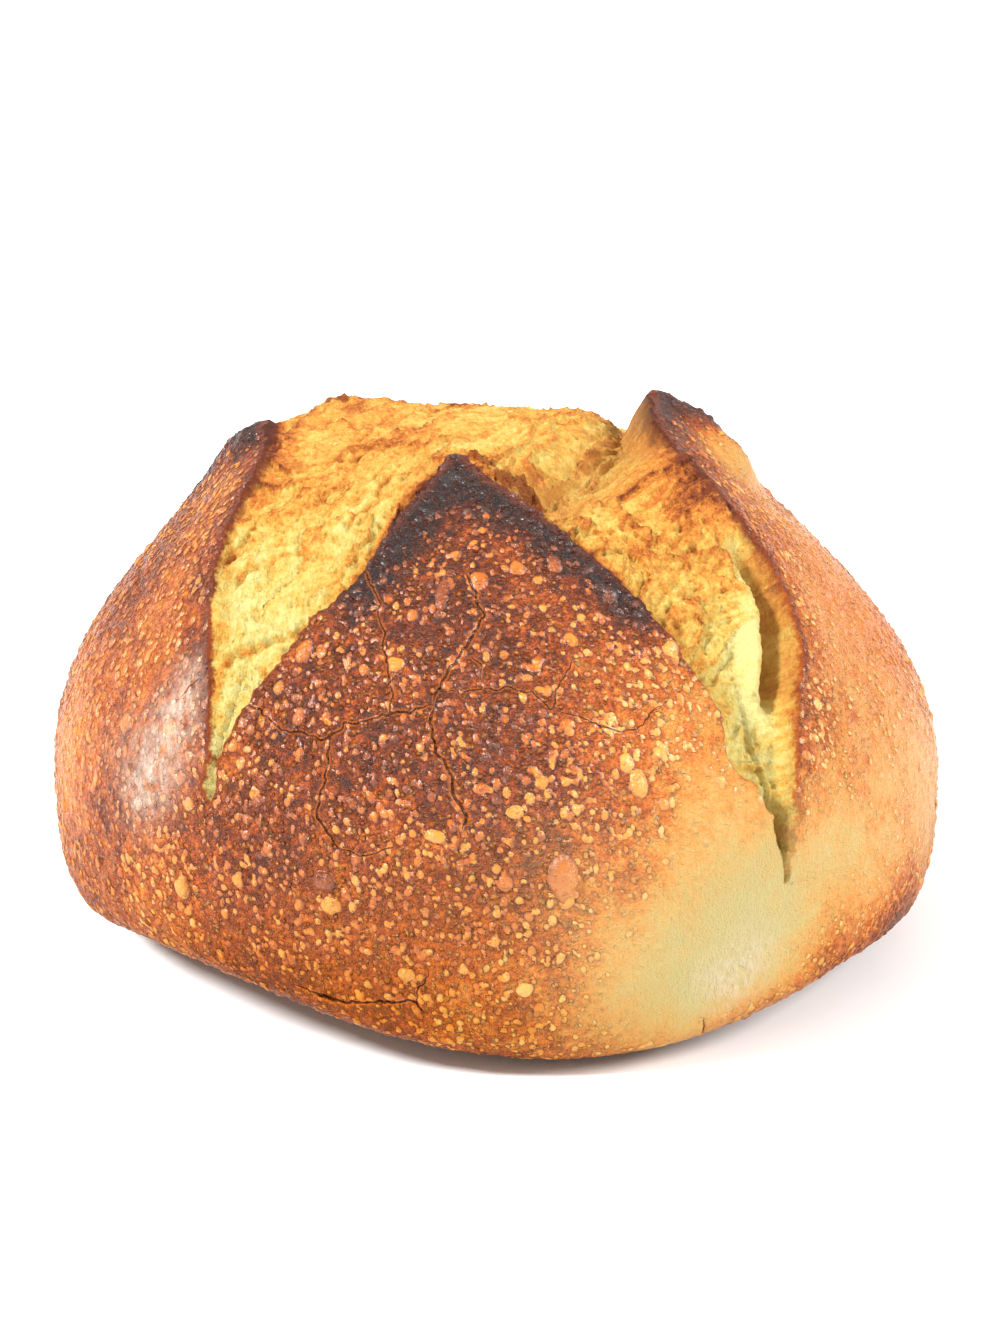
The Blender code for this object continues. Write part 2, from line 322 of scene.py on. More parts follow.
# short ways to lay and join nodes
class Maker:
    def __init__(self, tree):
        self.tree = tree
        self.shader = tree.nodes["Principled BSDF"]

    def node(self, kind, **settings):
        made = self.tree.nodes.new(kind)
        for key, value in settings.items():
            setattr(made, key, value)
        return made

    def join(self, source, target):
        self.tree.links.new(source, target)

    def give(self, socket, value):
        if hasattr(value, "is_output"):
            self.join(value, socket)
        else:
            socket.default_value = value

    def feed(self, name, value):
        self.give(self.shader.inputs[name], value)

    def field(self, name):
        return self.node("ShaderNodeAttribute", attribute_name=name).outputs["Fac"]

    def sum(self, operation, a, b=0.0, c=0.0):
        made = self.node("ShaderNodeMath", operation=operation)
        for socket, value in zip(made.inputs, (a, b, c)):
            self.give(socket, value)
        return made.outputs[0]

    def times(self, a, b):
        return self.sum("MULTIPLY", a, b)

    # value * by + plus
    def scaled(self, value, by, plus):
        return self.sum("MULTIPLY_ADD", value, by, plus)

    # noise moved to swing about zero
    def about(self, noise, middle=0.5):
        return self.sum("SUBTRACT", noise, middle)

    def band(self, value, low, high):
        made = self.node("ShaderNodeMapRange", interpolation_type="SMOOTHSTEP")
        self.give(made.inputs["Value"], value)
        made.inputs["From Min"].default_value, made.inputs["From Max"].default_value = low, high
        return made.outputs[0]

    def texture(self, kind, size, **settings):
        made, place = self.node(kind, **settings), self.node("ShaderNodeTexCoord")
        self.join(place.outputs["Object"], made.inputs["Vector"])
        made.inputs["Scale"].default_value = 1000.0 / size
        return made

    def grain(self, size, detail, rough):
        made = self.texture("ShaderNodeTexNoise", size)
        made.inputs["Detail"].default_value = detail
        made.inputs["Roughness"].default_value = rough
        return made.outputs[0]

    # distance to the nearest of many scattered spots and a random shade for each
    def cells(self, size):
        made, apart = self.texture("ShaderNodeTexVoronoi", size), self.node("ShaderNodeSeparateColor")
        self.join(made.outputs["Color"], apart.inputs[0])
        return made.outputs["Distance"], apart.outputs[0]

    # noise drawn out into strands
    def lain(self, size, stretch, kind="FBM"):
        made, turned = self.node("ShaderNodeTexNoise", noise_type=kind), self.node("ShaderNodeMapping")
        self.join(self.node("ShaderNodeTexCoord").outputs["Object"], turned.inputs["Vector"])
        turned.inputs["Rotation"].default_value = (0.2, 0.3, 0.45)
        turned.inputs["Scale"].default_value = (1, 1 / stretch, 1 / stretch ** 0.5)
        self.join(turned.outputs["Vector"], made.inputs["Vector"])
        made.inputs["Scale"].default_value = 1000.0 / size
        made.inputs["Detail"].default_value = 3
        return made.outputs[0]

    def ramp(self, value, stops, dimmed=0.57):
        made = self.node("ShaderNodeValToRGB")
        self.give(made.inputs["Fac"], value)
        stopList = made.color_ramp.elements
        while len(stopList) < len(stops):
            stopList.new(0.5)
        for stop, (where, colour) in zip(stopList, sorted(stops)):
            stop.position = where
            stop.color = linear(colour, dimmed)
        return made.outputs["Color"]

    def mix(self, share, a, b):
        made = self.node("ShaderNodeMix", data_type="RGBA")
        self.give(made.inputs["Factor"], share)
        self.give(made.inputs["A"], a)
        self.give(made.inputs["B"], linear(b) if isinstance(b, tuple) else b)
        return made.outputs["Result"]

    # a tint with its share, laid over the colour through a mask
    def tinted(self, mask, colour, tint):
        return self.mix(self.times(mask, tint[1]), colour, tint[0])

    def bump(self, height, distance):
        made = self.node("ShaderNodeBump")
        made.inputs["Strength"].default_value = 1.0
        made.inputs["Distance"].default_value = distance / 1000
        self.give(made.inputs["Height"], height)
        return made.outputs["Normal"]


# a colour from 0 to 255 as the shaders count it, darker by as much as the studio light is brighter than 1
def linear(colour, dimmed=0.57):
    return tuple(dimmed * (((c / 255 + 0.055) / 1.055) ** 2.4 if c > 10 else c / 255 / 12.92)
                 for c in colour) + (1.0,)


def newMaterial(name):
    material = bpy.data.materials.new(name)
    material.use_nodes = True
    return material, Maker(material.node_tree)


cracks = {  # half width, depth, then azimuth and reach of each bend
    "main": (0.34, 1.0, [(-95.8, 0.418), (-94.1, 0.46), (-92.1, 0.501), (-92.8, 0.526), (-94.4, 0.557),
        (-96.2, 0.593), (-97.6, 0.633), (-98.6, 0.66)]),
    "mainFoot": (0.36, 1.1, [(-98.6, 0.66), (-98.5, 0.69), (-97.4, 0.726), (-97.3, 0.747), (-95.3, 0.773),
        (-94.6, 0.812), (-93.7, 0.835), (-93.8, 0.856)]),
    "left": (0.22, 0.6, [(-115.4, 0.441), (-112.5, 0.459), (-110.2, 0.489), (-108.1, 0.533), (-106.7, 0.577),
        (-105.0, 0.626), (-104.0, 0.663), (-104.1, 0.685)]),
    "cross": (0.26, 0.8, [(-128.2, 0.684), (-126.1, 0.699), (-122.5, 0.71), (-118.4, 0.735), (-115.9, 0.734),
        (-112.7, 0.732), (-109.8, 0.711), (-106.4, 0.689), (-103.7, 0.681), (-101.1, 0.674),
        (-98.6, 0.66)]),
    "patchLeft": (0.26, 0.8, [(-111.6, 0.731), (-111.3, 0.766), (-111.7, 0.796), (-111.8, 0.823),
        (-111.4, 0.859), (-109.8, 0.883), (-108.7, 0.902)]),
    "patchFoot": (0.19, 0.5, [(-108.7, 0.902), (-106.0, 0.909), (-103.8, 0.903), (-101.2, 0.889)]),
    "right": (0.2, 0.6, [(-97.6, 0.636), (-93.5, 0.634), (-88.1, 0.63), (-85.3, 0.639), (-82.7, 0.672),
        (-81.8, 0.646), (-80.3, 0.619), (-78.6, 0.582)]),
    "farRight": (0.17, 0.4, [(-82.7, 0.672), (-79.5, 0.683), (-76.6, 0.707), (-73.7, 0.713), (-70.9, 0.714),
        (-66.9, 0.681)]),
    "stray": (0.17, 0.4, [(-94.1, 0.566), (-92.2, 0.591), (-92.0, 0.633)]),
    "leftFlap": (0.19, 0.5, [(-135.8, 0.723), (-134.9, 0.706), (-133.6, 0.688)]),
    "footHole": (1.0, 2.2, [(-111.6, 1.412), (-110.6, 1.424), (-109.4, 1.436)]),
    "foot": (0.32, 1.1, [(-115.6, 1.416), (-112.2, 1.405), (-109.0, 1.431), (-105.1, 1.362), (-101.3, 1.303),
        (-99.5, 1.306), (-98.4, 1.355)]),
    "footFork": (0.21, 0.6, [(-97.4, 1.121), (-98.6, 1.2), (-99.5, 1.306)]),
    "footRight": (0.24, 0.8, [(-64.0, 1.484), (-62.1, 1.783)]),
    "back": (0.26, 0.7, [(98, 0.5), (95, 0.56), (99, 0.62), (96, 0.7), (92, 0.78)]),
    "side": (0.22, 0.6, [(-12, 0.86), (-9, 0.93), (-12, 1.0), (-10, 1.08)]),
}
crust = {
    "bake": 0.58,         # how far it has browned: 0 pale, 1 charred
    "bakeSpots": [        # azimuth, reach, size, amount; all the spots below are given the same way
        (-62, 1.08, 30, -0.4), (-72, 1.12, 20, -0.12), (-72, 1.42, 14, -0.12), (-98, 0.5, 26, 0.03),
        (-96, 0.5, 12, 0.05), (-130, 0.93, 10, 0.06), (-75, 0.95, 9, 0.08), (-84, 1.02, 10, 0.04),
        (-50, 1.0, 24, -0.14), (-60, 1.32, 18, -0.08), (-30, 0.8, 46, -0.25), (-18, 0.6, 30, -0.06),
        (-20, 1.05, 26, -0.2), (-64, 0.72, 16, -0.1), (-25, 1.58, 13, 0.34), (-42, 1.66, 12, 0.18),
        (12, 0.36, 11, -0.24), (-102, 0.34, 12, 0.08), (-36, 1.18, 12, -0.05), (-57, 1.84, 11, 0.24),
        (-75, 1.86, 12, 0.1), (-100, 0.55, 28, 0.12), (-104, 0.76, 16, 0.05), (-93, 0.72, 18, 0.05),
        (-84, 0.8, 16, 0.07), (-78, 0.62, 14, 0.01), (-120, 0.7, 12, 0.08), (-119, 0.9, 11, 0.12),
        (-91, 0.94, 9, 0.02), (-168, 0.62, 16, 0.06), (-150, 0.64, 18, -0.12),
        (-143, 0.87, 12, 0.02), (-151, 1.35, 14, 0.04), (-140, 1.45, 22, -0.03), (-132, 1.15, 16, -0.02),
        (-147, 0.96, 12, 0.04), (-165, 0.4, 16, -0.17), (-104, 1.58, 14, 0.1), (-120, 1.5, 14, 0.12),
        (-165, 0.95, 22, -0.2), (-134, 0.8, 12, -0.14), (-135, 1.35, 20, -0.06), (-95, 1.22, 30, -0.05),
        (5, 0.34, 18, -0.16), (0, 0.6, 24, -0.12), (10, 0.55, 26, -0.05), (90, 0.8, 60, 0.1),
        (150, 0.9, 45, 0.06), (80, 1.35, 30, 0.1)],
    "bakeLumps": [(22, 80, 0.11), (6, 84, 0.1)],   # size, seed, amount
    "edgeBurn": (0.5, 7.6, 2.5),                   # amount, width, how much the width varies
    "tipBurn": (0.4, 17, -106, 0.2),               # amount, size, azimuth, reach
    "earBurn": (0.16, 7.5),                         # amount, width
    "lumps": [(26, 70, 0.5), (7, 74, 0.22)],        # size, seed, height
    "grain": (1.5, 0.1, 0.18),                     # size, height, and how much more where it has browned
    "lipWave": (0.16, 16, 8),                       # height, width, size
    "ears": [             # x, y, size, rise of the rolled crust beside the ears
        (37, 17, 4, 1.6), (46, 17, 7, 2.6), (55, 11, 6, 3.0), (64, 7, 5, -1.6), (66, 16, 5, -1.2),
        (-58, 12, 7, 2.0), (-60, 22, 8, 1.8), (-64, 0, 6, 0.6), (-70, -6, 5, -0.8)],
    "blisters": [         # size of cell, seed, chance, smallest and largest radius, rise
        (6.5, 11, 0.26, 0.16, 0.32, 0.8), (3.9, 23, 0.72, 0.18, 0.38, 0.65),
        (2.7, 37, 0.95, 0.24, 0.46, 0.5), (1.7, 51, 0.95, 0.3, 0.54, 0.32)],
    "bigBlisters": [      # azimuth, reach, half width and half height, rise, shade
        (-82.2, 0.935, 3.4, 5.0, 1.5, -0.05), (-72.3, 0.8, 2.3, 3.6, 0.8, 0.55),
        (-73.5, 0.765, 1.8, 2.2, 0.5, 0.6), (-130.5, 1.02, 2.3, 3.0, 1.1, 0.75),
        (-110.2, 0.955, 2.8, 2.6, 1.3, -0.35), (-109.4, 0.992, 2.6, 2.2, 0.9, 0.75),
        (-70.5, 0.49, 2.0, 2.2, 0.7, 0.5), (-63.2, 0.6, 2.0, 2.0, 0.6, 0.8),
        (-99.2, 0.47, 1.4, 5.0, 0.5, 0.25), (-93.0, 0.44, 2.6, 2.6, 0.7, 0.6),
        (-86.0, 0.42, 2.2, 2.2, 0.6, 0.5), (-79.0, 0.42, 2.0, 2.6, 0.7, 0.3), (-97.0, 0.87, 2.6, 1.6, 0.6, 0.9),
        (-87.6, 0.83, 2.0, 1.5, 0.5, 0.9), (-84.5, 0.785, 1.8, 1.8, 0.6, 0.7),
        (-104.5, 0.6, 2.2, 1.7, 0.6, 0.9), (-119.0, 0.6, 1.8, 3.0, 0.9, 0.4),
        (-136, 0.78, 2.6, 2.2, 0.5, 0.6), (-100.4, 1.16, 2.2, 1.8, 0.6, 0.8), (-86.6, 1.19, 1.8, 1.8, 0.5, 0.9),
        (-146, 0.8, 2.4, 2.0, 0.6, 0.5), (70, 0.8, 3.4, 3.0, 1.0, 0.4), (110, 0.9, 2.6, 2.6, 0.9, 0.7),
        (150, 0.7, 2.8, 2.4, 0.9, 0.5), (20, 0.9, 2.4, 2.6, 0.8, 0.6)],
    "blisterWarp": (0.5, 2.0),            # amount, size
    "blisterSquash": 0.84,
    "blisterStart": (0.1, 0.4),         # where browning brings them out, and how fast
    "capPower": (0.7, 0.75),             # how flat the small and the big ones are: 1 is a sharp cone
    "crackDrop": (0.5, 0.1, 1.3, 0.8),   # depth, height of the raised edge, its distance and width
    "edgeNudges": [       # how much further the crust reaches into the crumb
        (-119.4, 0.538, 9, 2.6), (-121.7, 0.602, 6, 1.0), (-58.6, 0.784, 5.5, -4.2), (-49.9, 0.901, 4.5, -2.8),
        (-51.3, 0.953, 3.0, -1.2), (-127.4, 0.844, 3.5, -1.6), (-106.7, 0.176, 4.5, 2.0), (25.5, 0.237, 4, 1.2),
        (165.2, 0.335, 4, 1.2)],
    "edgeRagged": [(3.5, 3, 0.65), (1.4, 4, 0.55)],   # size, seed, amount
    "patches": {
        "calm": [
            (-155, 0.75, 45, 0.8), (-162, 1.1, 40, 0.5), (-30, 1.5, 24, 0.8), (-56, 1.75, 20, 0.8),
            (0, 0.8, 45, 0.25), (-136, 0.8, 14, 0.4)],
        "sallow": [
            (-82, 0.94, 14, 0.3), (-70, 1.12, 22, 0.6), (-60, 1.35, 22, 0.6), (-76, 1.28, 18, 0.4),
            (-56, 1.02, 16, 0.4), (-10, 1.0, 20, 0.9)],
        "amber": [
            (-108, 1.28, 22, 0.7), (-96, 1.0, 16, 0.4), (-92, 1.3, 18, 0.3), (-125, 1.45, 16, 0.3)],
        # painted light: the right flap is coloured brighter and more saturated than the rest of the crust, as if
        # lit more strongly
        "paintedLightRight": [(-10, 0.66, 34, 0.5)],
    },
    # a pale papery skin low on the right front, and around (-137, 0.82) on the left flank a painted sheen
    "paperyAndSheenSpots": [
        (-58.2, 1.19, 7.0, 0.6), (-61, 1.31, 6.0, 0.5), (-64, 1.24, 5.0, 0.4), (-137, 0.82, 9.0, 1.0),
        (-135.2, 0.72, 8.0, 0.9), (-139, 0.9, 7.0, 0.7), (-146, 0.84, 10.0, 0.15)],
    "colours": [
        (0.0, (222, 207, 136)), (0.15, (240, 193, 106)), (0.3, (254, 167, 68)), (0.45, (236, 118, 30)),
        (0.6, (182, 77, 16)), (0.75, (118, 50, 18)), (0.88, (73, 40, 25)), (1.0, (42, 33, 30))],
    "blisterColours": [
        (0.0, (246, 228, 164)), (0.2, (252, 206, 110)), (0.42, (250, 164, 48)), (0.62, (218, 110, 18)),
        (0.8, (144, 66, 26)), (0.92, (84, 50, 34)), (1.0, (52, 40, 36))],
    "noises": ((3.2, 4, 0.7), (1.0, 3, 0.7), (0.45, 2, 0.6)),   # size, detail, roughness
    "dots": [             # size, chance, share of the tint, swell
        (2.5, 0.66, 0.6, 2.2), (1.6, 0.42, 0.68, 2.0), (0.9, 0.4, 0.62, 1.2)],
    # the ring and the rim are darker crust and painted shade at the foot of the dots and the blisters
    "ring": ((112, 42, 10), 0.32),      # tints with their shares: about the dots
    "rim": ((104, 44, 20), 0.6),       # about the blisters
    "sallow": ((232, 203, 132), 0.38),
    "amber": ((206, 108, 0), 0.4),
    # painted light on the right flap, brighter than any crust colour
    "paintedLightRight": ((272, 160, 90), 1.0),
    # pale papery skin, and a painted sheen on the left flank
    "paperyAndSheen": ((255, 236, 214), 0.75),
    "glow": ((234, 126, 46), 0.6),     # beside the cracks
    # the crack line is darker crust and painted shade inside the crack
    "line": ((88, 34, 8), 0.92),        # in the cracks
    "brink": ((112, 46, 22), 0.5),      # along the torn edge
    # the ear tint is darker crust and painted shadow in the gap under the raised ears
    "ear": ((140, 60, 24), 0.85),
    "foot": ((226, 174, 88), 0.75),
    "rough": (0.2, 0.22, -0.03),       # least, more with the grain, and on the blisters
    "gloss": (0.08, 0.21, 0.34),        # least, more on the upper crust, and on the blisters
    "bump": 0.52,
}


# height, cover and shade of the blisters
def blisterCaps(points, bake):
    warp = wander(points, *crust["blisterWarp"], 150)
    stretched = (points + warp) * np.array([1, 1, crust["blisterSquash"]])
    start, pace = crust["blisterStart"]
    flat, bigFlat = crust["capPower"]
    lively = smooth((bake - start) / pace)
    height, cover, shade = np.zeros((3, len(points)))
    for size, seed, chance, small, large, rise in crust["blisters"]:
        patchy = smooth(0.85 + 1.0 * layers(points, 14, seed + 7, 2))
        lump, tone = bubbles(stretched, size, seed, chance, small, large)
        lump = np.maximum(lump - 1 + (0.2 + 0.8 * lively) * (0.45 + 0.55 * patchy), 0)
        higher = lump > cover
        height = np.maximum(height, rise * lump ** flat)
        shade = np.where(higher, tone, shade)
        cover = np.maximum(cover, lump)
    for azimuth, reach, wide, tall, rise, tone in crust["bigBlisters"]:
        turn = math.radians(azimuth)
        off = points + warp - spotAt(azimuth, reach)
        near = (off ** 2).sum(-1) < 60
        side = off[near] @ np.array([-math.sin(turn), math.cos(turn), 0])
        rest = np.sqrt(np.maximum((off[near] ** 2).sum(-1) - side ** 2, 0))
        lump = np.clip(1 - (side / wide) ** 2 - (rest / tall) ** 2, 0, 1)
        height[near] = np.maximum(height[near], 1.3 * rise * lump ** bigFlat)
        shade[near] = np.where(lump > 0, tone, shade[near])
        cover[near] = np.where(lump > 0, np.maximum(lump * 1.5, 0.02), cover[near])
    return height, np.clip(cover, 0, 1), shade


# how far each place has browned
def browning(skin, away, lip, char):
    bake = crust["bake"] + softSpots(skin, crust["bakeSpots"])
    for size, seed, amount in crust["bakeLumps"]:
        bake += amount * layers(skin, size, seed, 3)
    amount, width, varied = crust["edgeBurn"]
    edgeBurn = char * bell(away, width + varied * noise(skin, 9, 88))
    tipAmount, tipSize, azimuth, reach = crust["tipBurn"]
    tipBurn = hill(skin, spotAt(azimuth, reach), tipSize)
    earAmount, earWidth = crust["earBurn"]
    return (bake + amount * edgeBurn + tipAmount * tipBurn
            + earAmount * smooth((lip - 0.8) / 2) * bell(away, earWidth))


def crustRelief(skin, reach, away, lip, char):
    bake = browning(skin, away, lip, char)
    caps, cover, shade = blisterCaps(skin, np.clip(bake, 0, 1))
    crackFar, crackSide, crackWide, crackDeep = nearStrokes(skin, reach, cracks)
    height = lip * np.exp(-(away / tear["earSpread"]) ** 1.5)
    height += sum(rise * layers(skin, size, seed, 2) for size, seed, rise in crust["lumps"])
    height += caps * smooth((2.0 - reach) / 0.3) * (1 - 0.45 * smooth((reach - 1.15) / 0.3))
    drop, edge, edgeFar, edgeWide = crust["crackDrop"]
    height -= drop * crackDeep * bell(crackFar, np.maximum(0.4, crackWide))
    height += edge * crackDeep * bell(crackFar - edgeFar, edgeWide)
    size, least, more = crust["grain"]
    rise, width, waveSize = crust["lipWave"]
    height += ((least + more * smooth((bake - 0.15) / 0.5)) * layers(skin, size, 90, 2)
               + rise * lip * bell(away, width) * noise(skin, waveSize, 95))
    for x, y, size, rise in crust["ears"]:
        height += rise * hill(skin[:, :2], (x, y), size)
    return height, {"bake": bake, "cover": cover, "shade": shade, "crackFar": crackFar, "crackSide": crackSide,
                    "crackWide": crackWide}


def crustMaterial():
    material, make = newMaterial("crust")
    bake, cover, shade, reach = [make.field(name) for name in ("bake", "cover", "shade", "reach")]
    coarse, speck, fine = [make.grain(*noise) for noise in crust["noises"]]
    lively = make.band(bake, 0.02, 0.7)
    busy = make.scaled(make.field("calm"), -0.62, 1.0)
    grainy = make.times(make.about(coarse), 0.85)
    grainy = make.scaled(make.about(speck), 0.7, grainy)
    grainy = make.scaled(make.about(fine), 0.3, grainy)
    browned = make.scaled(grainy, make.scaled(lively, 0.9, 0.22), bake)
    colour = make.ramp(browned, crust["colours"])
    golden = make.scaled(make.sum("SUBTRACT", 0.5, shade), 0.34, make.scaled(bake, 0.95, -0.03))
    golden = make.scaled(make.about(speck), 0.3, golden)
    smoother = make.scaled(make.band(cover, 0.02, 0.25), -0.68, 1.0)
    height = make.times(make.scaled(make.about(speck), 0.7, fine), smoother)

    # small dots between the blisters, each with a dark ring that is darker crust and painted shade at its foot
    for size, chance, strength, swell in crust["dots"]:
        away, tone = make.cells(size)
        drawn = make.times(make.sum("GREATER_THAN", tone, chance), make.scaled(lively, 0.95, 0.05))
        drawn = make.times(drawn, busy)
        dot = make.times(make.band(away, 0.48, 0.1), drawn)
        around = make.times(make.band(away, 0.66, 0.5), make.times(drawn, lively))
        colour = make.tinted(around, colour, crust["ring"])
        tint = make.ramp(make.scaled(tone, -0.7, make.sum("ADD", golden, 0.34)), crust["blisterColours"])
        colour = make.mix(make.times(dot, strength), colour, tint)
        height = make.scaled(make.times(dot, smoother), swell, height)
        glassy = dot if size > 2 else make.sum("MAXIMUM", dot, glassy)
    glassy = make.sum("MAXIMUM", glassy, make.band(cover, 0.0, 0.3))
    # paler towards the crown of each blister: thinner crust and painted highlight
    dome = make.ramp(make.scaled(make.about(cover, 0.4), -0.1, golden), crust["blisterColours"])
    # the rim is darker crust and painted shade at the foot of each blister
    rim = make.times(make.band(cover, 0.0, 0.06), make.band(cover, 0.34, 0.08))
    colour = make.mix(make.times(make.band(cover, 0.06, 0.5), busy), colour, dome)
    colour = make.tinted(make.times(rim, lively), colour, crust["rim"])

    # patches
    # the last of these patches is painted light on the right flap
    for patch in ("sallow", "amber", "paintedLightRight"):
        colour = make.tinted(make.field(patch), colour, crust[patch])
    # pale papery skin with fine wrinkles, and on the left flank a painted sheen
    paperyAndSheen = make.times(make.field("paperyAndSheen"), make.band(make.lain(1.6, 3), 0.15, 0.75))
    colour = make.tinted(paperyAndSheen, colour, crust["paperyAndSheen"])
    height = make.scaled(paperyAndSheen, 1.6, height)

    # cracks
    share = make.sum("DIVIDE", make.sum("ABSOLUTE", make.field("crackSide")), make.field("crackWide"))
    close = make.band(make.field("crackFar"), 1.6, 1.1)
    glow = make.times(close, make.band(share, 3.2, 0.9))
    # the dark line is darker crust and painted shade inside the crack
    line = make.times(close, make.band(share, 0.9, 0.45))
    colour = make.tinted(glow, colour, crust["glow"])
    colour = make.tinted(line, colour, crust["line"])
    height = make.scaled(line, -5.0, height)

    # torn edge, ears and foot
    edge = make.sum("ABSOLUTE", make.field("tear"))
    brink = make.times(make.band(edge, 1.0, 0.3), make.band(bake, 0.25, 0.5))
    colour = make.tinted(brink, colour, crust["brink"])
    # darker crust and painted shadow in the gap under the raised ears
    ear = make.times(make.band(edge, 2.6, 0.8), make.band(make.field("lip"), 1.0, 3.5))
    ear = make.times(ear, make.band(speck, 0.2, 0.5))
    ear = make.times(ear, make.band(reach, 0.8, 0.68))
    colour = make.tinted(ear, colour, crust["ear"])
    foot = make.times(make.band(reach, 1.84, 1.95), make.band(speck, 0.42, 0.58))
    colour = make.tinted(foot, colour, crust["foot"])
    make.feed("Base Color", colour)
    least, grained, domed = crust["rough"]
    make.feed("Roughness", make.scaled(glassy, domed, make.scaled(speck, grained, least)))
    least, above, domed = crust["gloss"]
    gloss = make.times(make.band(reach, 1.5, 0.8), make.scaled(glassy, domed, above))
    # less gloss where the right flap has painted light
    gloss = make.times(gloss, make.scaled(make.field("paintedLightRight"), -1.5, 1.0))
    make.feed("Specular IOR Level", make.sum("ADD", gloss, least))
    make.feed("Normal", make.bump(height, crust["bump"]))
    return material


creases = {  # in the crumb, given like the cracks
    "high": (0.8, 1.2, [(-133.0, 0.178), (-128.6, 0.244), (-124.7, 0.276), (-125.9, 0.308), (-126.1, 0.341),
        (-125.5, 0.377)]),
    "slit": (1.0, 2.6, [(-146.0, 0.416), (-144.6, 0.449), (-144.8, 0.484), (-143.6, 0.513)]),
    "low": (0.9, 1.6, [(-119.3, 0.549), (-123.8, 0.586), (-127.0, 0.606), (-130.7, 0.643), (-131.8, 0.679),
        (-130.2, 0.72)]),
    "across": (0.8, 1.2, [(-129.0, 0.425), (-133.5, 0.452), (-137.0, 0.5), (-138.5, 0.545)]),
    "top": (0.8, 1.3, [(-166.0, 0.16), (-158.0, 0.2), (-152.0, 0.25), (-150.0, 0.31)]),
}
crumb = {
    "sunken": -1.6,
    "lobes": [            # x, y, height, spread
        (-39, 32, 6.2, 16.5), (-6, 12, 0.3, 34), (-55, -50, 2.5, 20), (46, -20, 3.5, 14), (57, -74, -4.0, 15)],
    "valley": {"line": [(4, -50), (18, -28), (30, -4), (36, 30)], "depth": 8.0, "width": 8.5},
    "ridge": {"line": [(53, -36), (57, -46), (56.5, -55), (57, -63), (59.5, -71)], "rise": 1.6, "width": 3.2},
    "lie": ((0.88, -0.45, 0.2), (0.16, 0.32, 0.15), (0.1, 0.1, 0.9)),   # which way the torn strands run
    "wander": (2.2, 9),            # how far they stray, and over what length
    "torn": (2.1, 3.8),            # height and size of the strands
    "sheets": (1.2, 14, 2.4),      # height, size and steps of the wide and the narrow torn sheets
    "slips": (0.7, 5.0, 2.0),
    "lumps": (0.6, 7),
    "fibres": (0.8, 1.6),
    "creaseLip": (0.45, 1.8, 1.2, 3.5),    # height, distance to the side, width and reach
    "pores": (0.9, 3.4, 0.4, 0.15, 0.42),  # depth, size of cell, chance, smallest and largest radius
    "ragSpots": [                  # azimuth, reach, size, amount
        (-99, 0.14, 2.2, 0.7), (-93.5, 0.165, 2.4, 0.8), (-87, 0.196, 2.6, 0.8), (-80, 0.192, 3.0, 0.9),
        (-76, 0.212, 2.6, 0.9), (-75, 0.243, 2.2, 0.7), (-84, 0.232, 2.2, 0.6), (-73.7, 0.285, 1.6, 0.6),
        (-71.6, 0.343, 1.4, 0.5), (138.6, 0.28, 3.4, 0.5), (142.3, 0.296, 3.0, 0.4), (-119, 0.4, 1.8, 0.4),
        (-118, 0.44, 1.6, 0.4), (-121, 0.5, 1.6, 0.4), (28, 0.17, 1.6, 0.3)],
    "rags": (2.4, 4.2, 2.1),       # rise, how much it varies, size
    "toastAndShade": 0.285,                # how far it has browned
    # crest and strands paint highlight on the ridge and the strand crests and shade between the strands; fold
    # paints shade in the creases
    "toastBy": {"lumps": 0.16, "crest": 0.34, "sheets": 0.26, "slips": 0.16, "strands": 0.4, "fold": 0.18,
                "foldLip": 0.08},
    "edgeToast": (0.6, 2.4),       # amount, width
    "earToast": (0.24, 5.0),
    "toastSpots": [
        (-130.5, 0.64, 7, -0.12), (-129, 0.55, 15, -0.3), (-142, 0.49, 12, -0.18), (-128, 0.72, 12, -0.26),
        (-127.5, 0.83, 10, -0.4), (-48.5, 0.63, 7, -0.36), (-51, 0.72, 7, -0.34), (-54, 0.8, 9, -0.3),
        (-51, 0.92, 7, 0.05), (-52.4, 0.93, 4, 0.14), (20, 0.26, 8, 0.3), (-57, 0.31, 20, 0.12),
        (-33, 0.34, 14, 0.22), (-158, 0.3, 14, 0.07), (-122, 0.34, 9, -0.06), (2, 0.25, 10, 0.34),
        (-24, 0.28, 10, 0.14), (-66, 0.2, 9, 0.1), (-150, 0.3, 20, 0.1), (-165, 0.12, 16, 0.08),
        (150, 0.25, 22, 0.14), (60, 0.2, 26, 0.08), (-60, 0.5, 8, -0.1), (130, 0.6, 26, -0.05),
        (48, 0.6, 26, -0.1), (-124, 0.34, 8, -0.12)],
    # painted shade low in the notch
    "notchShadeSpots": [(-52.4, 0.93, 5, 0.65), (-54.7, 0.88, 4, 0.2)],
    "colours": [
        (0.0, (254, 239, 154)), (0.25, (255, 221, 114)), (0.48, (253, 184, 76)), (0.7, (232, 134, 48)),
        (1.0, (134, 58, 24))],
    "dimmed": 0.74,
    "noises": ((1.8, 5, 0.75), (0.5, 3, 0.7), (1.1, 3, 0.7)),
    "strands": (0.8, 3.5),         # size, stretch
    # painted shade: a darker warm tint in the valley and the groove
    "sunk": ((246, 190, 98), 0.5),
    # painted shade, warm, in the pores
    "poreShade": ((222, 140, 58), 0.35),
    "rag": ((172, 72, 18), 0.85),
    # darker crust and painted shadow in the gap under the raised ears
    "ear": ((112, 46, 18), 0.7),
    # painted shade low in the notch
    "notchShade": ((186, 160, 98), 1.0),
    "roughness": 0.6,
    "gloss": 0.25,
    "bump": 0.9,
}


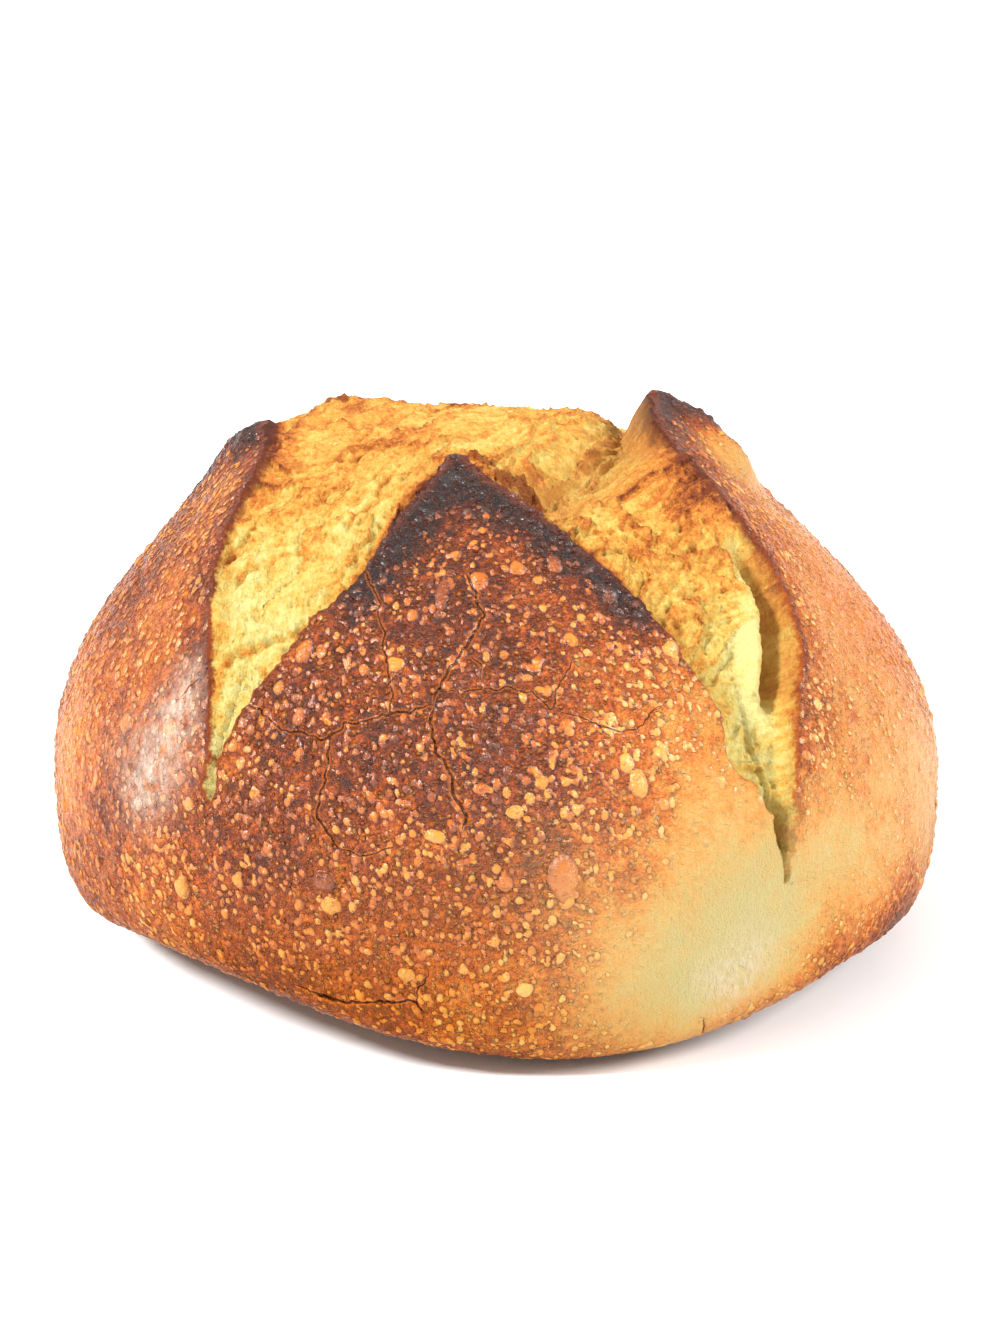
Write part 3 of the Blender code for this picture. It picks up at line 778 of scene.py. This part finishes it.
def crumbRelief(skin, reach, signed, away, lip, groove, char):
    plan, valley, ridge = skin[:, :2], crumb["valley"], crumb["ridge"]
    height = np.full(len(skin), crumb["sunken"])
    for x, y, rise, spread in crumb["lobes"]:
        height += rise * hill(plan, (x, y), spread)
    sunk = bell(lineDistance(plan, valley["line"]), valley["width"])
    height += lip * tear["crumbClimb"] * np.exp(-(away / tear["climbSpread"]) ** 1.5) - valley["depth"] * sunk
    hollow = groove * bell(signed + tear["grooveMiddle"], tear["grooveWidth"])
    height -= hollow
    crest = bell(lineDistance(plan, ridge["line"]), ridge["width"])
    height += ridge["rise"] * crest

    # strands and sheets that lie across the tear
    bent = skin + wander(skin, *crumb["wander"], 100)
    lie = np.stack([bent @ np.array(way) for way in crumb["lie"]], -1)
    strandRise, strandSize = crumb["torn"]
    wideRise, wideSize, wideSteps = crumb["sheets"]
    narrowRise, narrowSize, narrowSteps = crumb["slips"]
    torn = ridges(lie, strandSize, 104, 4)
    wide, narrow = flakes(lie, wideSize, 110, wideSteps), flakes(lie, narrowSize, 114, narrowSteps)
    rough = (1 - 0.65 * crest) * (0.8 + 0.15 * smooth((plan[:, 0] - 5) / 30))
    height += rough * (strandRise * (torn - 0.45) + wideRise * (wide ** 2 - 0.33)
                       + narrowRise * (narrow ** 2 - 0.33))
    height += crumb["lumps"][0] * layers(skin, crumb["lumps"][1], 120, 4, 0.65)
    height += crumb["fibres"][0] * (ridges(lie, crumb["fibres"][1], 118, 2) - 0.45)

    foldFar, foldSide, foldWide, foldDeep = nearStrokes(skin, reach, creases)
    fold = bell(foldFar, foldWide) * foldDeep
    rise, beside, width, length = crumb["creaseLip"]
    foldLip = foldDeep * np.exp(-((foldSide - beside) / width) ** 2 - (foldFar / length) ** 4)
    height += rise * foldLip - fold
    depth, size, chance, small, large = crumb["pores"]
    pores, _ = bubbles(skin, size, 130, chance, small, large)
    height -= depth * pores ** 0.7
    rags = softSpots(skin, crumb["ragSpots"])
    rise, varied, size = crumb["rags"]
    height += rags * (rise + varied * layers(skin, size, 160, 3, 0.7))

    # browned on the tops of the torn sheets, by the crust and beside the ears; paler along the ridge and on the
    # strand crests, which is painted highlight, browner between the strands and in the folds, which is painted
    # shade, and paler on the lips beside the folds
    by = crumb["toastBy"]
    toastAndShade = crumb["toastAndShade"] + softSpots(skin, crumb["toastSpots"])
    toastAndShade = toastAndShade + by["lumps"] * layers(skin, 12, 140, 3) - by["crest"] * crest
    toastAndShade += (by["sheets"] * (wide ** 3 - 0.25) + by["slips"] * (narrow ** 3 - 0.25)
              - by["strands"] * (torn - 0.45) + by["fold"] * fold - by["foldLip"] * foldLip)
    amount, width = crumb["edgeToast"]
    toastAndShade += amount * char * bell(away, width)
    amount, width = crumb["earToast"]
    toastAndShade += amount * smooth((lip - 0.7) / 2) * bell(away, width) * smooth((0.95 - reach) / 0.3)
    # the first and the last of these fields mark where painted shade is laid: the valley and the groove, and low
    # in the notch
    return height, {"sunk": np.clip(sunk * 0.9 + hollow / 6.0, 0, 1), "pores": pores, "toastAndShade": toastAndShade, "rags": rags,
                    "notchShade": np.clip(softSpots(skin, crumb["notchShadeSpots"]), 0, 1)}


def crumbMaterial():
    material, make = newMaterial("crumb")
    strands = make.lain(*crumb["strands"], "RIDGED_MULTIFRACTAL")
    fluff, fine, fray = [make.grain(*noise) for noise in crumb["noises"]]
    tone = make.scaled(make.about(fluff), 1.1, make.field("toastAndShade"))
    # paler on the strand crests: painted highlight
    tone = make.scaled(make.about(strands, 0.8), -0.24, tone)
    tone = make.scaled(make.about(fine), 0.5, tone)
    colour = make.ramp(tone, crumb["colours"], crumb["dimmed"])
    # painted shade, darker and warm, in the valley and the groove
    colour = make.tinted(make.field("sunk"), colour, crumb["sunk"])
    # painted shade, warm, in the pores
    colour = make.tinted(make.field("pores"), colour, crumb["poreShade"])
    clump = make.band(make.scaled(make.about(fluff), 0.9, make.field("rags")), 0.22, 0.55)
    colour = make.tinted(clump, colour, crumb["rag"])

    # crust colours run a little way over the torn edge
    over = make.ramp(make.scaled(fluff, 0.5, make.scaled(make.field("bake"), 0.8, -0.16)), crust["colours"])
    edge = make.scaled(make.about(fray), 1.6, make.field("tear"))
    colour = make.mix(make.band(edge, -1.1, -0.3), colour, over)
    # darker crust and painted shadow in the gap under the raised ears
    ear = make.times(make.band(edge, -2.4, -0.6), make.band(make.field("lip"), 2.0, 5.0))
    colour = make.tinted(ear, colour, crumb["ear"])
    # painted shade low in the notch
    colour = make.tinted(make.field("notchShade"), colour, crumb["notchShade"])
    make.feed("Base Color", colour)
    make.feed("Roughness", crumb["roughness"])
    make.feed("Specular IOR Level", crumb["gloss"])
    height = make.scaled(strands, 0.5, make.scaled(fine, 0.5, make.times(fluff, 1.8)))
    make.feed("Normal", make.bump(height, crumb["bump"]))
    return material


underside = {
    "colours": [(0.2, (104, 60, 34)), (0.5, (150, 92, 50)), (0.8, (196, 140, 84))],
    "noises": ((3.0, 4, 0.6), (0.8, 4, 0.6)),
    "roughness": 0.8,
    "bump": 0.3,
}


def undersideMaterial():
    material, make = newMaterial("underside")
    speck, grit = [make.grain(*noise) for noise in underside["noises"]]
    make.feed("Base Color", make.ramp(speck, underside["colours"]))
    make.feed("Roughness", underside["roughness"])
    make.feed("Normal", make.bump(grit, underside["bump"]))
    return material


# every point of the skin with its torn edges, crumb, blisters and cracks, and what its colours need
def shapeLoaf(turn, reach):
    skin, normal = skinPoint(turn, reach), skinNormal(turn, reach)
    chart = np.stack([reach * np.cos(turn), reach * np.sin(turn)], -1)
    outline, lips, grooves, burnt = tornOutline(260)
    upper = reach < tear["lowest"]
    index, distance = nearest(skin[upper], skinPoint(*turnAndReach(outline)))
    inside = insideOutline(chart[upper], tornOutline(50)[0])
    signed = np.full(len(skin), 60.0)   # distance to the torn edge, less than zero in the crumb
    lip, groove, char = np.zeros((3, len(skin)))
    signed[upper] = np.where(inside, -distance, distance)
    lip[upper], groove[upper], char[upper] = lips[index], grooves[index], burnt[index]
    away = np.abs(signed)
    ragged = signed
    for size, seed, amount in crust["edgeRagged"]:
        ragged = ragged + amount * noise(skin, size, seed)
    ragged = ragged + softSpots(skin, crust["edgeNudges"])
    crustHeight, fields = crustRelief(skin, reach, away, lip, char)
    crumbHeight, crumbFields = crumbRelief(skin, reach, signed, away, lip, groove, char)
    fields.update(crumbFields)

    # the crust stands over the crumb like a wall along the torn edge
    least, more = tear["wall"]
    wall = least + more * np.maximum(crustHeight - crumbHeight, 0)
    rise = smooth((ragged + wall) / wall)
    height = np.where(upper, crumbHeight + (crustHeight - crumbHeight) * rise, crustHeight)
    point = skin + normal * (height * smooth((2.02 - reach) / 0.12))[:, None]
    point[:, 2] = np.maximum(point[:, 2], 0)
    fields.update({"tear": ragged, "rise": rise, "reach": reach, "lip": lip})
    fields["paperyAndSheen"] = softSpots(skin, crust["paperyAndSheenSpots"])
    for name, table in crust["patches"].items():
        fields[name] = np.clip(softSpots(skin, table), 0, 1)
    return point, fields


grid = {
    "columns": 1120,
    "front": (0.45, 0.55, 100),      # density of the columns, how much more in front, and how far round
    "gapsAt": [0, 0.08, 0.15, 1.9, 2.05, 2.4, 3],       # reaches, and the gap between rings at each
    "gaps": [0.7, 0.55, 0.44, 0.46, 0.9, 3.0, 4.0],
    "topSteps": [(12, 8), (25, 4), (50, 2)],            # within this radius, every how manieth column
    "baseSteps": [(2.05, 2), (2.2, 4), (2.75, 8)],      # the same from this reach on
}


def faces(*corners):
    return np.stack(corners, -1)


# the front profile of the loaf and the length along it
def frontProfile(sweep):
    profile = skinPoint(np.full_like(sweep, -pi / 2), sweep)
    return profile, np.concatenate([[0], np.cumsum(np.linalg.norm(np.diff(profile, axis=0), axis=1))])


# rings of columns that halve towards the top and the middle of the base
def ringGrid():
    columns = grid["columns"]
    least, more, spread = grid["front"]
    azimuths = np.linspace(-pi, pi, 2001)
    front = smooth((math.radians(spread) - np.abs(np.angle(np.exp(1j * (azimuths + pi / 2))))) / 0.3)
    weight = np.cumsum(least + more * front)
    turns = np.interp(np.arange(columns) / columns * (weight[-1] - weight[0]) + weight[0], weight, azimuths)
    sweep = np.linspace(0, 3, 6001)
    profile, length = frontProfile(sweep)
    gap = np.interp(sweep, grid["gapsAt"], grid["gaps"]) * 1.0
    count = np.concatenate([[0], np.cumsum(np.diff(length) / gap[1:])])
    rings = np.interp(np.arange(1, int(count[-1])), count, sweep)
    radius = np.interp(rings, sweep, np.hypot(profile[:, 0], profile[:, 1]))
    steps = np.ones(len(rings), int)
    for within, step in reversed(grid["topSteps"]):
        steps[radius < within] = step
    for start, step in grid["baseSteps"]:
        steps[rings > start] = step
    turn, reach, starts = [np.zeros(1)], [np.zeros(1)], []
    total = 1
    for ring, step in zip(rings, steps):
        used = turns[::step]
        starts.append(total)
        turn.append(used)
        reach.append(np.full(len(used), ring))
        total += len(used)
    turn.append(np.zeros(1))
    reach.append(np.full(1, 3.0))

    # fans at the two poles and bands of faces between the rings
    n = columns // steps[0]
    j = np.arange(n)
    quads, triangles = [], [faces(np.zeros(n, int), starts[0] + j, starts[0] + (j + 1) % n)]
    for k in range(len(rings) - 1):
        a, b = starts[k], starts[k + 1]
        n, m = columns // steps[k], columns // steps[k + 1]
        j = np.arange(min(n, m))
        i = (j + 1) % len(j)
        if n == m:
            quads.append(faces(a + j, b + j, b + i, a + i))
        elif m == 2 * n:
            triangles += [faces(a + j, b + 2 * j, b + 2 * j + 1), faces(a + j, b + 2 * j + 1, a + i),
                          faces(a + i, b + 2 * j + 1, b + 2 * i)]
        else:
            triangles += [faces(a + 2 * j, b + j, a + 2 * j + 1), faces(a + 2 * j + 1, b + j, b + i),
                          faces(a + 2 * j + 1, b + i, a + 2 * i)]
    n = columns // steps[-1]
    j = np.arange(n)
    triangles.append(faces(starts[-1] + (j + 1) % n, starts[-1] + j, np.full(n, total)))
    return np.concatenate(turn), np.concatenate(reach), np.concatenate(quads), np.concatenate(triangles)


# shared normals, so that no seam shows between the pieces
def faceNormals(points, quads, triangles):
    total = np.zeros_like(points)
    for corners in (quads, triangles):
        a, b = points[corners[:, 1]] - points[corners[:, 0]], points[corners[:, 2]] - points[corners[:, 0]]
        if corners.shape[1] == 4:
            a, b = points[corners[:, 2]] - points[corners[:, 0]], points[corners[:, 3]] - points[corners[:, 1]]
        flat = np.cross(a, b)
        for k in range(corners.shape[1]):
            np.add.at(total, corners[:, k], flat)
    return total / np.maximum(np.linalg.norm(total, axis=1, keepdims=True), 1e-12)


# one mesh out of the shared skin; laid is its flat map
def makePiece(name, points, normals, fields, quads, triangles, laid, material):
    used = np.unique(np.concatenate([quads.ravel(), triangles.ravel()]))
    place = np.full(len(points), -1)
    place[used] = np.arange(len(used))
    mesh = bpy.data.meshes.new(name)
    corners = np.concatenate([place[quads].ravel(), place[triangles].ravel()]).astype(np.int32)
    sizes = np.concatenate([np.full(len(quads), 4), np.full(len(triangles), 3)]).astype(np.int32)
    mesh.vertices.add(len(used))
    mesh.vertices.foreach_set("co", (points[used] / 1000).astype(np.float32).ravel())
    mesh.loops.add(len(corners))
    mesh.loops.foreach_set("vertex_index", corners)
    mesh.polygons.add(len(sizes))
    mesh.polygons.foreach_set("loop_start", np.concatenate([[0], np.cumsum(sizes)[:-1]]).astype(np.int32))
    mesh.update(calc_edges=True)
    mesh.polygons.foreach_set("use_smooth", np.ones(len(sizes), bool))
    for field, values in fields.items():
        layer = mesh.attributes.new(field, "FLOAT", "POINT")
        layer.data.foreach_set("value", values[used].astype(np.float32))
    laid = laid[used]
    laid = 0.01 + 0.98 * (laid - laid.min(axis=0)) / (laid.max(axis=0) - laid.min(axis=0))
    flat = mesh.uv_layers.new(name="OFBake")
    flat.data.foreach_set("uv", laid[corners].astype(np.float32).ravel())
    mesh.normals_split_custom_set_from_vertices(normals[used].tolist())
    mesh.materials.append(material)
    thing = bpy.data.objects.new(name, mesh)
    scene.collection.objects.link(thing)
    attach(thing, "root")
    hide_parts("boule")
    return thing


print("shaping the skin")
turn, reach, quads, triangles = ringGrid()
points, fields = shapeLoaf(turn, reach)
normals = faceNormals(points, quads, triangles)

print("laying out the pieces", len(points), "points")
looks = {"crust": crustMaterial(), "crumb": crumbMaterial(), "underside": undersideMaterial()}
sectors = {"crustFrontLeft": (-180, -120), "crustFront": (-120, -60), "crustFrontRight": (-60, 0),
           "crustBackRight": (0, 90), "crustBackLeft": (90, 180.1)}   # azimuths
parts = {name: [] for name in ("crumb", "underside", *sectors)}
for corners in (quads, triangles):
    middle = points[corners].mean(axis=1)
    around = np.degrees(np.arctan2(middle[:, 1], middle[:, 0]))
    ring = reach[corners].mean(axis=1)
    torn = (fields["rise"][corners].mean(axis=1) < 0.985) & (ring < 1.2)
    under = ring > 1.97
    parts["crumb"].append(corners[torn])
    parts["underside"].append(corners[under])
    for name, (low, high) in sectors.items():
        parts[name].append(corners[~torn & ~under & (around >= low) & (around < high)])

sweep = np.linspace(0, 2, 200)
arc = np.interp(reach, sweep, frontProfile(sweep)[1])
for name, (fourSided, threeSided) in parts.items():
    laid = points[:, :2]
    if name in sectors:
        off = np.angle(np.exp(1j * (turn - math.radians(sum(sectors[name]) / 2))))
        laid = np.stack([off * np.minimum(loaf["radius"], arc), arc], -1)
    makePiece(name, points, normals, fields, fourSided, threeSided, laid, looks.get(name, looks["crust"]))
    print("  ", name, len(fourSided) * 2 + len(threeSided), "triangles")

print("lighting")
stage = {
    "floor": (250, 250, 250),
    "floorSize": 30,      # metres
    "floorRoughness": 0.9,
    "floorGloss": 0.1,
    "world": 0.72,
    "key": ((-0.78, -0.38, 0.72), 10, 4.7),    # from where, spread, power
    "fill": ((0.9, -0.15, 0.6), 26, 3.4),
}
bpy.ops.mesh.primitive_plane_add(size=stage["floorSize"])
floor = bpy.context.object
floor.name = "floor"
floorLook, make = newMaterial("floor")
make.feed("Base Color", linear(stage["floor"], 1.0))
make.feed("Roughness", stage["floorRoughness"])
make.feed("Specular IOR Level", stage["floorGloss"])
floor.data.materials.append(floorLook)

world = bpy.data.worlds.new("studio")
scene.world = world
world.use_nodes = True
background = world.node_tree.nodes["Background"]
background.inputs["Color"].default_value = (1, 1, 1, 1)
background.inputs["Strength"].default_value = stage["world"]


def sunLight(name, source, spread, power):
    light = bpy.data.lights.new(name, "SUN")
    light.angle, light.energy = math.radians(spread), power
    lamp = bpy.data.objects.new(name, light)
    lamp.location = source
    lamp.rotation_mode = "QUATERNION"
    lamp.rotation_quaternion = (-Vector(source)).to_track_quat("-Z", "Y")
    scene.collection.objects.link(lamp)


for name in ("key", "fill"):
    sunLight(name, *stage[name])

eye = {"tilt": 18.3, "away": 0.8, "aim": (0.0009, 0, 0.062), "lens": 90.74, "sensor": 36}   # metres
camera = bpy.data.cameras.new("camera")
camera.lens, camera.sensor_width = eye["lens"], eye["sensor"]
camera.dof.use_dof = False
viewer = bpy.data.objects.new("camera", camera)
down = math.radians(eye["tilt"])
viewer.location = (eye["aim"][0], -eye["away"] * math.cos(down), eye["aim"][2] + eye["away"] * math.sin(down))
viewer.rotation_euler = (pi / 2 - down, 0, 0)
scene.collection.objects.link(viewer)
scene.camera = viewer
scene.view_settings.view_transform = "Standard"
